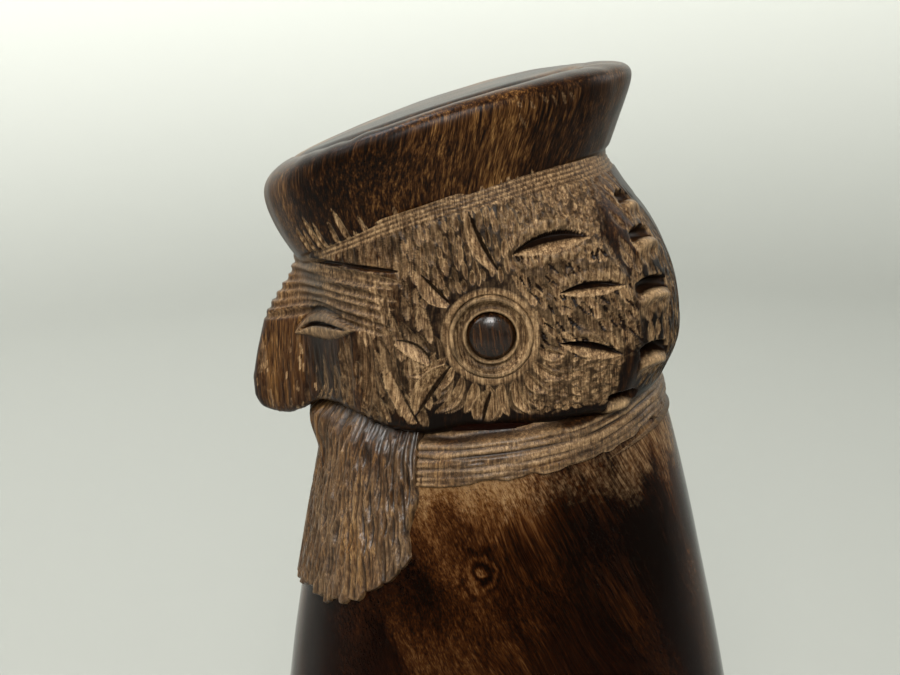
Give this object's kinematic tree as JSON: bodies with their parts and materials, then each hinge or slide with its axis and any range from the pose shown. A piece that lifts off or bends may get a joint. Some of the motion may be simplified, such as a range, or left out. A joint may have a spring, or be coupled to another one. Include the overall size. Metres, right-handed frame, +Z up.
{
  "type": "carved wooden figurine",
  "caption": "Carved hardwood figurine of a bearded head with a hooked nose, closed eyes and a tilted flat cap, on a smooth robe that widens to a round flat foot.",
  "frame": {"origin": "centre of the flat underside of the foot", "axes": "+Z up from the foot to the cap, -Y out of the face, +X towards the figure's left ear"},
  "size_m": [0.116, 0.116, 0.2565],
  "materials": {
    "polished_wood": "polished and waxed dark hardwood",
    "carved_wood": "gouge-cut, matt, lighter where the cuts are fresh",
    "dark_wood": "polished dark hardwood, darker figure"
  },
  "bodies": {
    "root": {"robe": "polished_wood", "collar": "carved_wood", "beard": "carved_wood", "face": "carved_wood", "left_side": "carved_wood", "right_side": "carved_wood", "nape": "polished_wood", "left_ear_cup": "carved_wood", "right_ear_cup": "carved_wood", "left_ear_button": "dark_wood", "right_ear_button": "dark_wood", "cap_band": "polished_wood", "cap_crown": "dark_wood"}
  },
  "joints": []
}
